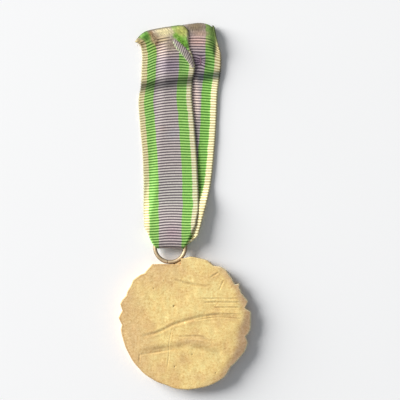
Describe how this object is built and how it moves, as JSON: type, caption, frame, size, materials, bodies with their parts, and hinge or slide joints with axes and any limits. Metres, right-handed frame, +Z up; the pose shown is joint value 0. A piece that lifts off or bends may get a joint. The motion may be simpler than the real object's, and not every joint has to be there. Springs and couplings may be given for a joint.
{
  "type": "military service medal",
  "caption": "Round gilt service medal with a leafy cast edge, hung by a wire ring from a folded striped rep ribbon, lying flat with its reverse up.",
  "frame": {"origin": "middle of the whole medal's box, on the surface it lies on", "axes": "+Y from the disc to the top of the ribbon, +Z up out of the reverse face, +X to the right as the reverse is seen"},
  "size_m": [0.0384, 0.1065, 0.0034],
  "materials": {
    "gilt": "matte cast gilding, sandy grain",
    "bronze_wire": "tarnished smooth wire",
    "ribbon": "ribbed rep silk, mauve centre, green and cream stripes",
    "thread": "sewing thread"
  },
  "bodies": {
    "ribbon_top": {"ribbon_front_upper": "ribbon", "ribbon_rear_upper": "ribbon", "ribbon_turned_end": "ribbon", "hem_thread": "thread", "ribbon_stitch": "thread"},
    "ribbon_lower": {"ribbon_front_lower": "ribbon", "ribbon_rear_lower": "ribbon"},
    "ribbon_loop": {"ribbon_turn": "ribbon"},
    "medal": {"suspension_ring": "bronze_wire", "suspension_lug": "gilt", "medal_disc": "gilt"}
  },
  "joints": [
    {"name": "ribbon_bend", "type": "hinge", "parent": "ribbon_top", "child": "ribbon_lower", "pos_m": [0, 0.018, 0.00145], "axis": [1, 0, 0], "range_deg": [-70, 70]},
    {"name": "medal_tilt", "type": "hinge", "parent": "ribbon_lower", "child": "ribbon_loop", "pos_m": [0, -0.004, 0.00145], "axis": [1, 0, 0], "range_deg": [-60, 60]},
    {"name": "ring_turn", "type": "hinge", "parent": "ribbon_loop", "child": "medal", "pos_m": [-0.0043, -0.012, 0.0019], "axis": [0, 0, 1], "range_deg": [-30, 30]}
  ]
}
